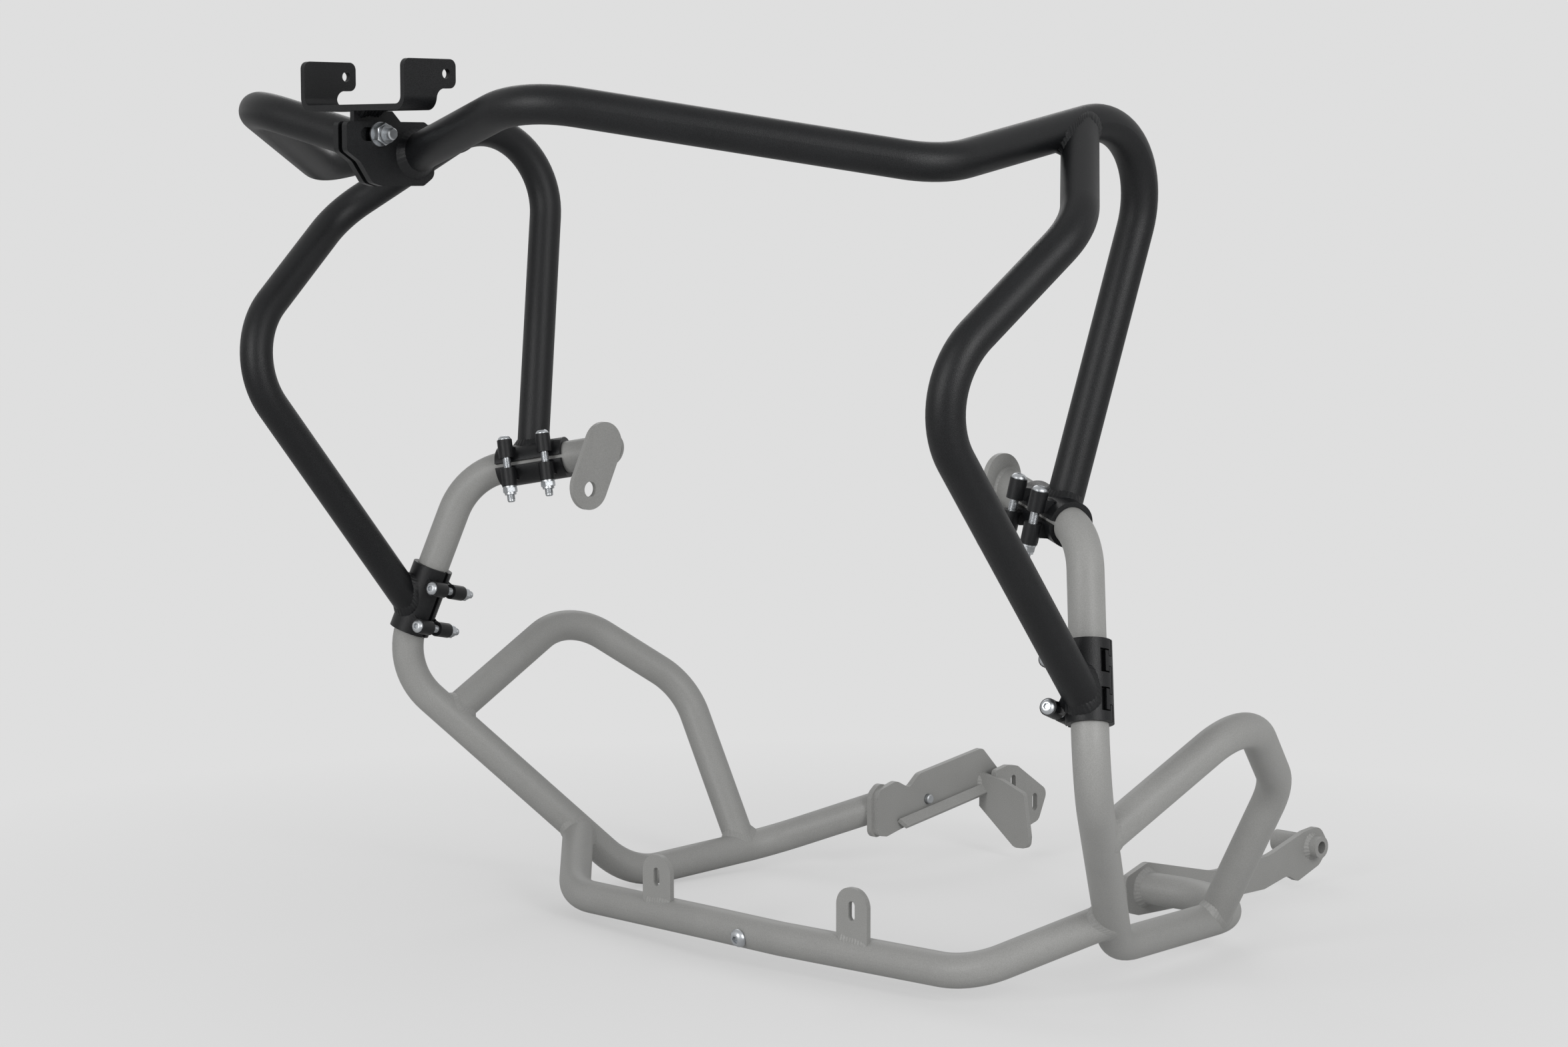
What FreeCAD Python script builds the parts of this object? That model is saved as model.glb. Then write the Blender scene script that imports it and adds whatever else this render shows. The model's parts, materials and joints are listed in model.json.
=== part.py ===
import FreeCAD, Part
import math
import os

# Motorcycle crash bars: a black upper pair clamped to a grey engine guard.
# Millimetres. X points to the rider's left, Y to the rear, Z up. The origin is the middle of the
# axis through the two upper engine mounting holes.

V = FreeCAD.Vector

# Tube stock, the same for every bar
TUBE_OD = 25.4
TUBE_WALL = 2.0
BEND_R = 58.0

# Upper engine mount plates: inner faces, outline and bolt hole
PLATE_INNER_X = 209.0
PLATE_T = 4.0
PLATE_END_R = 18.5
PLATE_HOLE_D = 12.5
PLATE_LOW = V(0, 0, 2.2)

# Centre joint: two flanges clamp a tongue that carries the lamp bracket
TONGUE_T = 4.0
FLANGE_T = 5.0
FLANGE_SLOT_W = 9.0
FLANGE_SLOT_L = 31.0
CENTRE_BOLT_Y = -380.0
CENTRE_BOLT_Z = 273.8
CENTRE_BOLT_D = 8.0
CENTRE_HOLE_D = 8.6
FLANGE_OUTLINE = [
    (-407, 282, 3), (-407, 263, 4), (-396, 256, 8), (-386, 242, 6), (-378, 240, 4),
    (-343, 240, 4), (-334, 246, 6), (-334, 277, 4), (-342, 282, 4),
]
TONGUE_FRONT_Y = -397.0
TONGUE_BACK_Y = -365.0
TONGUE_LOW_Z = 262.0
TONGUE_FOOT_R = 8.0
TONGUE_SLOPE = 8.0

# Lamp bracket, folded from sheet
LAMP_SHEET_T = 4.0
LAMP_FOLD_R = 9.0
LAMP_HALF_W = 54.0
LAMP_BASE_Z = 289.0
LAMP_TOP_Z = 322.0
LAMP_FRONT_Y = -397.0
LAMP_BASE_DEPTH = 27.0
LAMP_EAR_DEPTH = 43.0
LAMP_NOTCH_Z = 303.0
LAMP_NOTCH_R = 6.5
LAMP_EAR_R = 5.0
LAMP_HOLE_D = 6.6
LAMP_HOLE_Y = -362.0
LAMP_HOLE_Z = 312.5

# Upper bars, one side, x outward
UPPER_FRONT = V(6.7, -348.9, 261.0)
UPPER_CORNERS = [V(141.5, -375.3, 295.2), V(318.5, -176.7, 253.3), V(316.6, 56.7, 297.6)]
BRANCH_ROOT = 141.0
BRANCH_CORNERS = [V(379.7, -113.5, 215.4), V(353.9, -235.7, 112.6)]
BRANCH_FOOT = 120.4

# Tube clamps: two shell halves, T tabs on one edge, two barrels on the other
CLAMP_LENGTH = 56.0
CLAMP_WALL = 3.5
CLAMP_FIT = 0.1
CLAMP_GAP = 3.0
SEAM_GAP = 1.0
BARREL_OD = 12.0
BARREL_BORE = 6.4
BARREL_OFFSET = 22.0
BARREL_NEAR = 4.2
BARREL_L = 14.5
BARREL_WEB_W = 8.0
BARREL_WEB_H = 9.0
BARREL_ALONG = [-15.0, 17.5]
WINDOW_ALONG = [-12.8, 13.2]
WINDOW_L = 16.0
WINDOW_ARC = 9.8
NECK_W = 6.6
NECK_ARC = 2.5
HEAD_ARC = 6.0
TAB_FIT = 0.5
REAR_BOLT_WAY = V(-0.245, -0.04, -0.965)

# Fasteners
M6_D = 6.0
M6_HEAD_D = 10.5
M6_HEAD_H = 3.0
M6_SOCKET = 4.0
M6_NUT_AF = 10.0
M6_NUT_H = 5.5
M6_WASHER_D = 11.0
WASHER_T = 1.2
CLAMP_BOLT_L = 50.0
M8_HEAD_D = 14.0
M8_HEAD_H = 4.4
M8_SOCKET = 5.0
M8_NUT_AF = 13.0
M8_NUT_H = 8.0
M8_WASHER_D = 16.0
CENTRE_BOLT_L = 30.0
SOCKET_DEPTH_SHARE = 0.55
HEAD_RIM_SHARE = 0.2
HEAD_CROWN_SHARE = 0.55
HEAD_SHOULDER = (0.42, 0.68)
BOLT_POINT_L = 0.8
NUT_COLLAR_SHARE = 0.3
NUT_COLLAR_R_SHARE = 0.46

# Cross tube joint: the right half runs over a spigot held in the left half
CROSS_SEAM_X = 16.0
CROSS_BOLT_X = 6.0
CROSS_BOLT_DROP = 11.0
CROSS_MIDDLE = V(38, -36.3, -315.2)
SPIGOT_FIT = 0.15
SPIGOT_WALL = 3.0
SPIGOT_FREE_L = 40.0
SPIGOT_HELD_L = 16.0
CROSS_NUT_H = 6.5
CROSS_BOLT_L = 18.0

# Belly pan tabs on the cross tube
TAB_W = 30.5
TAB_CORNER_R = 13.7
TAB_T = 4.0
TAB_SETBACK = 7.5
TAB_SLOT_W = 6.5
TAB_SLOT_L = 14.5
TAB_SLOT_DROP = 17.0

# Left rear mount: a long arm plate with a boss tube
ARM_OUTER_X = 140.0
ARM_T = 5.0
ARM_OUTLINE = [
    (242, -297, 6), (270, -288.5, 14), (357, -309, 60), (430, -307, 60), (478, -294, 20),
    (500, -292, 14), (514, -311, 12), (500, -325, 12), (470, -334.5, 6), (456, -327.5, 16),
    (424, -334, 16), (397, -333.6, 30), (259, -329, 10), (246, -325, 8),
]
BOSS_Y = 489.0
BOSS_Z = -307.5
BOSS_OD = 18.0
BOSS_BORE = 10.2
BOSS_INNER_X = 104.0
BOSS_OUTER_X = 150.0

# Right rear mount: x outward here too, so its inner side is the lower x
REAR_PLATE_OUTER_X = 150.0
REAR_PLATE_T = 5.0
REAR_PLATE_OUTLINE = [(258, -309, 7), (258, -271, 10), (268, -263, 8), (298, -270, 8), (298, -304, 8)]
REAR_BRACKET_OUTLINE = [
    (261, -306, 5), (261, -268, 8), (284, -262, 10), (300, -270, 6), (313, -259.5, 10),
    (394, -247.5, 7), (421, -274.5, 3), (421, -279, 2), (289, -304, 10), (272, -308, 5),
]
REAR_SHEET_T = 5.0
STIFFENER_FRONT = V(0, 285, -297.0)
STIFFENER_REAR = V(0, 393, -280.5)
STIFFENER_W = 9.0
STIFFENER_T = 4.0
GUSSET_BACK_Y = 395.0
GUSSET_OUTLINE = [
    (145, -294, 3), (100, -329, 9), (85, -328, 6), (84, -318, 6), (90, -281, 4), (115, -272, 12),
    (145, -268, 3),
]
SLOTTED_OUTER_X = 130.5
SLOTTED_OUTLINE = [
    (395, -306, 2), (395, -266, 3), (411, -263, 8), (424, -265, 8), (464.5, -292, 8),
    (453, -317, 8), (438, -321, 4),
]
REAR_SLOT_W = 6.5
REAR_SLOTS = [(418.5, -279.0, 13.0), (447.4, -300.2, 15.5)]
REAR_BOLT_Y = 323.0
REAR_BOLT_Z = -282.5
REAR_BOLT_L = 9.0

# The engine guard differs from side to side. Distances along a run start at its first corner.
SIDES = {
    "left": {
        "lower_corners": [V(319.7, -32.4, 8.0), V(363.0, -75.4, -152.8),
                          V(252.7, 89.6, -306.8), V(232.5, 289.1, -311.6)],
        "lower_end": V(140.0, 267.9, -308.1),
        "plate_high": V(0, 8.9, 34.5),
        "plate_tube": V(0, 13.7, 28.8),
        "top_bend_r": 44.0,
        "rear_clamp_at": 48.0,
        "upper_foot": V(283.0, -12.5, 17.5),
        "loop_root": 81.3,
        "loop_corners": [V(356.7, 104.8, -127.2), V(313.2, 199.7, -194.1)],
        "loop_foot": 133.8,
        "cross_root": 203.6,
        "cross_corner": V(208.4, -19.3, -316.0),
        "cross_end_x": CROSS_SEAM_X,
        "front_clamp_at": 102.7,
        "front_clamp_turn": -20.0,
        "tab_x": 109.5,
        "tab_rise": 49.5,
    },
    "right": {
        "lower_corners": [V(319.7, -32.4, 8.0), V(363.1, -74.4, -149.4),
                          V(253.8, 82.3, -328.3), V(235.0, 226.9, -318.9)],
        "lower_end": V(150.0, 276.0, -282.7),
        "plate_high": V(0, 15.5, 34.0),
        "plate_tube": V(0, 25.6, 29.6),
        "top_bend_r": BEND_R,
        "rear_clamp_at": 58.0,
        "upper_foot": V(274.5, -3.5, 17.0),
        "loop_root": 60.1,
        "loop_corners": [V(360.2, 109.7, -122.6), V(312.9, 202.0, -190.5)],
        "loop_foot": 117.4,
        "cross_root": 203.1,
        "cross_corner": V(208.3, -20.6, -321.1),
        "cross_end_x": -CROSS_SEAM_X,
        "front_clamp_at": 109.0,
        "front_clamp_turn": 7.0,
        "tab_x": 94.0,
        "tab_rise": 46.1,
    },
}

# Worked out from the values above
TUBE_R = TUBE_OD / 2
CLAMP_BORE_R = TUBE_R + CLAMP_FIT
CLAMP_R = CLAMP_BORE_R + CLAMP_WALL
PLATE_OUTER_X = PLATE_INNER_X + PLATE_T
FLANGE_INNER_X = TONGUE_T / 2
FLANGE_OUTER_X = FLANGE_INNER_X + FLANGE_T
OVERRUN = 40.0
BIG = 2000.0
SIDEWAYS = V(1, 0, 0)
NODES = {}


def unit(vector):
    """The same direction with length one."""
    return vector * (1 / vector.Length)


def towards(start, end, distance):
    """The point at a distance from start on the line to end."""
    return start + unit(end - start) * distance


def bent_rod(points, radius, first_bend_r=BEND_R):
    """A round rod through corner points, with a bend at each inner one."""
    pieces = []
    start = points[0]
    bend_r = first_bend_r
    for before, corner, after in zip(points, points[1:], points[2:]):
        way_in = unit(corner - before)
        way_out = unit(after - corner)
        turn = way_in.getAngle(way_out)
        setback = bend_r * math.tan(turn / 2)
        bend_start = corner - way_in * setback
        inward = unit(way_out - way_in * way_in.dot(way_out))
        centre = bend_start + inward * bend_r
        run = bend_start.distanceToPoint(start)
        pieces.append(Part.makeCylinder(radius, run, start, way_in))
        disc = Part.Face(Part.Wire(Part.makeCircle(radius, bend_start, way_in)))
        pieces.append(disc.revolve(centre, way_in.cross(inward), math.degrees(turn)))
        start = corner + way_out * setback
        bend_r = BEND_R
    last_way = unit(points[-1] - points[-2])
    pieces.append(Part.makeCylinder(radius, points[-1].distanceToPoint(start), start, last_way))
    if len(pieces) == 1:
        return pieces[0]
    return pieces[0].multiFuse(pieces[1:]).removeSplitter()


def bent_tube(points, first_bend_r=BEND_R):
    """A tube of the common stock through corner points."""
    bore = bent_rod(points, TUBE_R - TUBE_WALL, first_bend_r)
    return bent_rod(points, TUBE_R, first_bend_r).cut(bore)


def end_cutter(point, way):
    """A round block that starts at a plane through a tube's end and covers what runs past it."""
    return Part.makeCylinder(2 * TUBE_OD, 2 * OVERRUN, point, way)


def half_space(point, way):
    """A large block that starts at a plane and fills the side that way points to."""
    return Part.makeCylinder(BIG, BIG, point, way)


def outline_face(corners, place):
    """A flat face from (u, v, radius) corners. place turns u and v into a point."""
    edges = []
    joints = []
    count = len(corners)
    for index, (u, v, radius) in enumerate(corners):
        corner = place(u, v)
        before = place(*corners[index - 1][:2])
        after = place(*corners[(index + 1) % count][:2])
        way_in = unit(corner - before)
        way_out = unit(after - corner)
        turn = way_in.getAngle(way_out)
        setback = radius * math.tan(turn / 2)
        middle_way = unit(way_out - way_in)
        sagitta = radius / math.cos(turn / 2) - radius
        arc_start = corner - way_in * setback
        arc_end = corner + way_out * setback
        joints.append((arc_start, corner + middle_way * sagitta, arc_end))
    for index, (arc_start, arc_middle, arc_end) in enumerate(joints):
        edges.append(Part.Arc(arc_start, arc_middle, arc_end).toShape())
        edges.append(Part.LineSegment(arc_end, joints[(index + 1) % count][0]).toShape())
    return Part.Face(Part.Wire(edges))


def plate_across_x(corners, x_low, thickness):
    """A plate with its faces across X. Corners are (y, z, radius)."""
    face = outline_face(corners, lambda u, v: V(x_low, u, v))
    return face.extrude(V(thickness, 0, 0))


def plate_across_y(corners, y_low, thickness):
    """A plate with its faces across Y. Corners are (x, z, radius)."""
    face = outline_face(corners, lambda u, v: V(u, y_low, v))
    return face.extrude(V(0, thickness, 0))


def slot_cutter(centre, along, through, length, width, depth):
    """A cutter for a slot with round ends, centred in its depth."""
    radius = width / 2
    half = unit(along) * (length / 2 - radius)
    base = centre - unit(through) * (depth / 2)
    ends = [Part.makeCylinder(radius, depth, base + step, through) for step in (half, half * -1)]
    side = unit(through).cross(unit(along)) * radius
    points = [base + half + side, base - half + side, base - half - side, base + half - side]
    bar = Part.Face(Part.makePolygon(points + points[:1])).extrude(unit(through) * depth)
    return bar.fuse(ends)


def hexagon(across_flats, height, at, way):
    """A hexagonal prism that starts at a point."""
    corner_r = across_flats / math.sqrt(3)
    angles = [math.radians(60 * k) for k in range(7)]
    points = [V(corner_r * math.cos(angle), corner_r * math.sin(angle), 0) for angle in angles]
    prism = Part.Face(Part.makePolygon(points)).extrude(V(0, 0, height))
    prism.Placement = FreeCAD.Placement(at, FreeCAD.Rotation(V(0, 0, 1), way))
    return prism


def washer(outer_d, hole_d, at, way):
    """A flat washer that starts at a point."""
    disc = Part.makeCylinder(outer_d / 2, WASHER_T, at, way)
    return disc.cut(Part.makeCylinder(hole_d / 2, WASHER_T, at, way))


def lock_nut(across_flats, height, thread_d, at, way):
    """A hexagonal nut with bevelled corners and a rounded collar at its far end."""
    body_h = height * (1 - NUT_COLLAR_SHARE)
    corner_r = across_flats / math.sqrt(3)
    bevel = corner_r - across_flats / 2
    body = hexagon(across_flats, body_h, at, way)
    lower = Part.makeCone(across_flats / 2, corner_r, bevel / 2, at, way)
    middle = Part.makeCylinder(corner_r, body_h - bevel, at + unit(way) * (bevel / 2), way)
    upper_at = at + unit(way) * (body_h - bevel / 2)
    upper = Part.makeCone(corner_r, across_flats / 2, bevel / 2, upper_at, way)
    body = body.common(lower.fuse([middle, upper]).removeSplitter())
    collar_r = across_flats * NUT_COLLAR_R_SHARE
    collar = Part.makeCylinder(collar_r, height - body_h, at + unit(way) * body_h, way)
    nut = body.fuse(collar)
    return nut.cut(Part.makeCylinder(thread_d / 2, height, at, way))


def button_bolt(thread_d, head_d, head_h, socket, length, at, way):
    """A domed bolt with a hexagonal socket. Its head sits at a point and its shank goes way."""
    out = unit(way) * -1
    rim_h = head_h * HEAD_RIM_SHARE
    crown_d = head_d * HEAD_CROWN_SHARE
    side = unit(out.cross(V(0.3, 0.5, 0.8)))

    def spot(radius, rise):
        return at + side * radius + out * rise

    shoulder = spot(head_d * HEAD_SHOULDER[0], head_h * HEAD_SHOULDER[1])
    edges = [
        Part.LineSegment(at, spot(head_d / 2, 0)).toShape(),
        Part.LineSegment(spot(head_d / 2, 0), spot(head_d / 2, rim_h)).toShape(),
        Part.Arc(spot(head_d / 2, rim_h), shoulder, spot(crown_d / 2, head_h)).toShape(),
        Part.LineSegment(spot(crown_d / 2, head_h), at + out * head_h).toShape(),
        Part.LineSegment(at + out * head_h, at).toShape(),
    ]
    head = Part.Face(Part.Wire(edges)).revolve(at, out, 360)
    depth = head_h * SOCKET_DEPTH_SHARE
    head = head.cut(hexagon(socket, depth, at + out * (head_h - depth), out))
    shank_l = length - BOLT_POINT_L
    shank = Part.makeCylinder(thread_d / 2, shank_l, at, way)
    point_at = at + unit(way) * shank_l
    point = Part.makeCone(thread_d / 2, thread_d / 2 - BOLT_POINT_L, BOLT_POINT_L, point_at, way)
    return head.fuse([shank, point]).removeSplitter()


def ring_sector(z_low, z_high, start_deg, end_deg):
    """A stretch of the clamp's shell between two angles about Z."""
    height = z_high - z_low
    sweep = end_deg - start_deg
    whole = Part.makeCylinder(CLAMP_R, height, V(0, 0, z_low), V(0, 0, 1), sweep)
    bore = Part.makeCylinder(CLAMP_BORE_R, height, V(0, 0, z_low), V(0, 0, 1), sweep)
    sector = whole.cut(bore)
    sector.rotate(V(0, 0, 0), V(0, 0, 1), start_deg)
    return sector


def arc_degrees(length):
    """The angle that a length takes along the middle of the clamp's wall."""
    return math.degrees(length / (CLAMP_BORE_R + CLAMP_WALL / 2))


def barrel_pair(side):
    """The two bolt barrels of one half and the webs under them. side is -1 or 1 along Y."""
    pieces = []
    for along in BARREL_ALONG:
        near = V(BARREL_OFFSET, side * BARREL_NEAR, along)
        pieces.append(Part.makeCylinder(BARREL_OD / 2, BARREL_L, near, V(0, side, 0)))
        web_start = CLAMP_R / 2
        web_low = min(side * BARREL_NEAR, side * (BARREL_NEAR + BARREL_WEB_H))
        corner = V(web_start, web_low, along - BARREL_WEB_W / 2)
        web = Part.makeBox(BARREL_OFFSET - web_start, BARREL_WEB_H, BARREL_WEB_W, corner)
        pieces.append(web.cut(Part.makeCylinder(CLAMP_BORE_R, CLAMP_LENGTH, V(0, 0, -CLAMP_LENGTH / 2))))
    return pieces


def barrel_bores():
    """Cutters for the bolt holes of a clamp."""
    reach = BARREL_NEAR + BARREL_L
    return [Part.makeCylinder(BARREL_BORE / 2, 2 * reach, V(BARREL_OFFSET, -reach, along), V(0, 1, 0))
            for along in BARREL_ALONG]


def clamp_fixed_half():
    """The half that is welded to the upper bar, with a T slot for each tab."""
    low = -CLAMP_LENGTH / 2
    high = CLAMP_LENGTH / 2
    seam = arc_degrees(SEAM_GAP / 2)
    gap = arc_degrees(CLAMP_GAP / 2)
    shell = ring_sector(low, high, 180 + seam, 360 - gap)
    cutters = []
    for along in WINDOW_ALONG:
        neck = NECK_W / 2 + TAB_FIT
        cutters.append(ring_sector(along - neck, along + neck, 180, 180 + arc_degrees(NECK_ARC)))
        cutters.append(ring_sector(along - WINDOW_L / 2, along + WINDOW_L / 2,
                                   180 + arc_degrees(NECK_ARC), 180 + arc_degrees(WINDOW_ARC)))
    shell = shell.cut(cutters)
    return shell.fuse(barrel_pair(-1)).cut(barrel_bores()).removeSplitter()


def clamp_loose_half():
    """The half that closes the clamp, with two T tabs on its far edge."""
    low = -CLAMP_LENGTH / 2
    high = CLAMP_LENGTH / 2
    seam = arc_degrees(SEAM_GAP / 2)
    gap = arc_degrees(CLAMP_GAP / 2)
    pieces = []
    for along in WINDOW_ALONG:
        neck_end = arc_degrees(NECK_ARC + TAB_FIT)
        pieces.append(ring_sector(along - NECK_W / 2, along + NECK_W / 2, 180 - seam, 180 + neck_end))
        head = WINDOW_L / 2 - 2 * TAB_FIT
        pieces.append(ring_sector(along - head, along + head,
                                  180 + neck_end, 180 + arc_degrees(HEAD_ARC)))
    shell = ring_sector(low, high, gap, 180 - seam)
    return shell.fuse(pieces + barrel_pair(1)).cut(barrel_bores()).removeSplitter()


def clamp_hardware():
    """Bolts, washers and lock nuts of one clamp, each as a list of solids."""
    reach = BARREL_NEAR + BARREL_L
    bolts = []
    washers = []
    nuts = []
    for along in BARREL_ALONG:
        head_at = V(BARREL_OFFSET, -reach, along)
        nut_at = V(BARREL_OFFSET, reach + WASHER_T, along)
        bolts.append(button_bolt(M6_D, M6_HEAD_D, M6_HEAD_H, M6_SOCKET, CLAMP_BOLT_L,
                                 head_at, V(0, 1, 0)))
        washers.append(washer(M6_WASHER_D, BARREL_BORE, V(BARREL_OFFSET, reach, along), V(0, 1, 0)))
        nuts.append(lock_nut(M6_NUT_AF, M6_NUT_H, M6_D, nut_at, V(0, 1, 0)))
    return bolts, washers, nuts


def clamp_place(centre, axis, bolt_way):
    """Where a clamp goes: bolts along bolt_way, made square to the tube's axis."""
    along = unit(axis)
    bolt = unit(bolt_way - along * along.dot(bolt_way))
    offset = bolt.cross(along)
    return FreeCAD.Placement(centre, FreeCAD.Rotation(offset, bolt, along, "ZXY"))


def placed(shape, place, turned):
    """A copy of a shape moved from the clamp's own frame to its place, end for end if turned."""
    copy = shape.mirror(V(0, 0, 0), V(0, 0, 1)) if turned else shape.copy()
    copy.Placement = place.multiply(copy.Placement)
    return copy


def add(name, shape, side):
    """Keep a node. Every side is drawn with x outward, and the right one is mirrored."""
    solids = shape if isinstance(shape, list) else [shape]
    if side == "right":
        solids = [solid.mirror(V(0, 0, 0), SIDEWAYS) for solid in solids]
    NODES[name] = solids


def lower_runs(side):
    """The corner points of the lower main tube, from the mount plate to the rear plate."""
    data = SIDES[side]
    start = V(PLATE_OUTER_X, data["plate_tube"].y, data["plate_tube"].z)
    return [start] + data["lower_corners"] + [data["lower_end"]]


def front_clamp_way(axis, turn):
    """The front clamp's bolt direction: a turn about the tube from straight back."""
    level = unit(V(0, 1, 0) - axis * axis.y)
    outward = level.cross(axis)
    angle = math.radians(turn)
    return level * math.cos(angle) + outward * -math.sin(angle)


def build_clamps(side):
    """Both clamps of a side. Returns the sleeve cylinders that the upper bars are cut to."""
    runs = lower_runs(side)
    plate_end, first, second = runs[0], runs[1], runs[2]
    data = SIDES[side]
    rear_axis = unit(first - plate_end)
    front_axis = unit(second - first)
    places = {
        "rear": (towards(first, plate_end, data["rear_clamp_at"]), rear_axis, REAR_BOLT_WAY),
        "front": (towards(first, second, data["front_clamp_at"]), front_axis,
                  front_clamp_way(front_axis, data["front_clamp_turn"])),
    }
    fixed = clamp_fixed_half()
    loose = clamp_loose_half()
    bolts, washers, nuts = clamp_hardware()
    held_tube = bent_rod(runs, TUBE_R, data["top_bend_r"])
    sleeves = {}
    for name, (centre, axis, way) in places.items():
        place = clamp_place(centre, axis, way)
        turned = name == "rear"
        fixed_half = placed(fixed, place, turned).cut(held_tube)
        loose_half = placed(loose, place, turned).cut(held_tube)
        add(f"{name}_clamp_fixed_half_{side}", fixed_half, side)
        add(f"{name}_clamp_loose_half_{side}", loose_half, side)
        add(f"{name}_clamp_bolts_{side}", [placed(solid, place, turned) for solid in bolts], side)
        add(f"{name}_clamp_washers_{side}", [placed(solid, place, turned) for solid in washers], side)
        add(f"{name}_clamp_nuts_{side}", [placed(solid, place, turned) for solid in nuts], side)
        sleeve = Part.makeCylinder(CLAMP_R, 2 * CLAMP_LENGTH, centre - axis * CLAMP_LENGTH, axis)
        sleeves[name] = [sleeve, fixed_half]
    return sleeves


def build_upper(side, sleeves):
    """The black upper main tube and its branch."""
    front_way = unit(UPPER_FRONT - UPPER_CORNERS[0])
    points = [UPPER_FRONT + front_way * OVERRUN] + UPPER_CORNERS + [SIDES[side]["upper_foot"]]
    main = bent_tube(points)
    main = main.cut(end_cutter(V(FLANGE_OUTER_X, UPPER_FRONT.y, UPPER_FRONT.z), V(-1, 0, 0)))
    main = main.cut(sleeves["rear"])
    add(f"upper_main_tube_{side}", largest(main), side)

    runs = lower_runs(side)
    root = towards(UPPER_CORNERS[1], UPPER_CORNERS[2], BRANCH_ROOT)
    foot = towards(runs[1], runs[2], BRANCH_FOOT)
    branch = bent_tube([root] + BRANCH_CORNERS + [foot])
    host = bent_rod(points, TUBE_R)
    add(f"upper_branch_tube_{side}", largest(branch.cut([host] + sleeves["front"])), side)


def largest(shape):
    """The biggest solid of a cut, without the offcuts inside the tube it was cut to."""
    return max(shape.Solids, key=lambda solid: solid.Volume)


def build_lower(side):
    """The grey lower main tube, its loop, its half of the cross tube and the belly tab."""
    data = SIDES[side]
    runs = lower_runs(side)
    start_way = unit(runs[0] - runs[1])
    end_way = unit(runs[-1] - runs[-2])
    points = [runs[0] + start_way * OVERRUN] + runs[1:-1] + [runs[-1] + end_way * OVERRUN]
    main = bent_tube(points, data["top_bend_r"])
    main = main.cut([end_cutter(runs[0], V(-1, 0, 0)), end_cutter(runs[-1], V(-1, 0, 0))])
    main = largest(main)
    add(f"lower_main_tube_{side}", main, side)
    host = bent_rod(points, TUBE_R, data["top_bend_r"])

    loop_start = towards(runs[2], runs[3], data["loop_root"])
    loop_end = towards(runs[3], runs[4], data["loop_foot"])
    loop = bent_tube([loop_start] + data["loop_corners"] + [loop_end])
    add(f"lower_loop_tube_{side}", largest(loop.cut(host)), side)

    cross_start = towards(runs[2], runs[3], data["cross_root"])
    cross_end = V(data["cross_end_x"], CROSS_MIDDLE.y, CROSS_MIDDLE.z)
    cross_points = [cross_start, data["cross_corner"], CROSS_MIDDLE, cross_end]
    cross = bent_tube(cross_points)
    if side == "right":
        cross = cross.cut(cross_bolt_hole(side))
    add(f"lower_cross_tube_{side}", largest(cross.cut(host)), side)
    build_belly_tab(side, data, bent_rod(cross_points, TUBE_R))


def build_belly_tab(side, data, cross_host):
    """The round-topped tab on the cross tube, with an upright slot."""
    corner = data["cross_corner"]
    share = (data["tab_x"] - corner.x) / (CROSS_MIDDLE.x - corner.x)
    seat = corner + (CROSS_MIDDLE - corner) * share
    half = TAB_W / 2
    top = seat.z + data["tab_rise"]
    front = seat.y - TAB_SETBACK
    outline = [(seat.x - half, seat.z, 1), (seat.x - half, top, TAB_CORNER_R),
               (seat.x + half, top, TAB_CORNER_R), (seat.x + half, seat.z, 1)]
    tab = plate_across_y(outline, front, TAB_T)
    slot_at = V(seat.x, front + TAB_T / 2, top - TAB_SLOT_DROP)
    tab = tab.cut(slot_cutter(slot_at, V(0, 0, 1), V(0, 1, 0), TAB_SLOT_L, TAB_SLOT_W, 2 * TAB_T))
    add(f"belly_tab_{side}", largest(tab.cut(cross_host)), side)


def build_mount_plate(side):
    """The upper engine mount plate: two round ends, one bolt hole."""
    low = V(PLATE_INNER_X, PLATE_LOW.y, PLATE_LOW.z)
    high = V(PLATE_INNER_X, SIDES[side]["plate_high"].y, SIDES[side]["plate_high"].z)
    along = high - low
    length = along.Length + 2 * PLATE_END_R
    middle = (low + high) * 0.5 + V(PLATE_T / 2, 0, 0)
    blank = slot_cutter(middle, along, SIDEWAYS, length, 2 * PLATE_END_R, PLATE_T)
    hole = Part.makeCylinder(PLATE_HOLE_D / 2, PLATE_T, V(PLATE_INNER_X, 0, 0), SIDEWAYS)
    add(f"upper_mount_plate_{side}", blank.cut(hole).removeSplitter(), side)


def build_centre_flange(side):
    """The welded plate at the front end of an upper main tube, with a slot for the centre bolt."""
    flange = plate_across_x(FLANGE_OUTLINE, FLANGE_INNER_X, FLANGE_T)
    slot_at = V(FLANGE_INNER_X + FLANGE_T / 2, CENTRE_BOLT_Y, CENTRE_BOLT_Z)
    slot = slot_cutter(slot_at, V(0, 1, 0), SIDEWAYS, FLANGE_SLOT_L, FLANGE_SLOT_W, 2 * FLANGE_T)
    add(f"centre_flange_{side}", flange.cut(slot), side)


def cross_bolt_way():
    """The direction from the cross tube's axis to its bolt head: forward and down."""
    drop = math.radians(CROSS_BOLT_DROP)
    return V(0, -math.cos(drop), -math.sin(drop))


def cross_bolt_at(side):
    """The cross bolt's place on the tube axis. The right half is drawn mirrored."""
    flip = -1 if side == "right" else 1
    return V(flip * CROSS_BOLT_X, CROSS_MIDDLE.y, CROSS_MIDDLE.z)


def cross_bolt_hole(side):
    """A cutter for the cross bolt through one wall."""
    return Part.makeCylinder(CENTRE_HOLE_D / 2, 2 * TUBE_OD, cross_bolt_at(side), cross_bolt_way())


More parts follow.
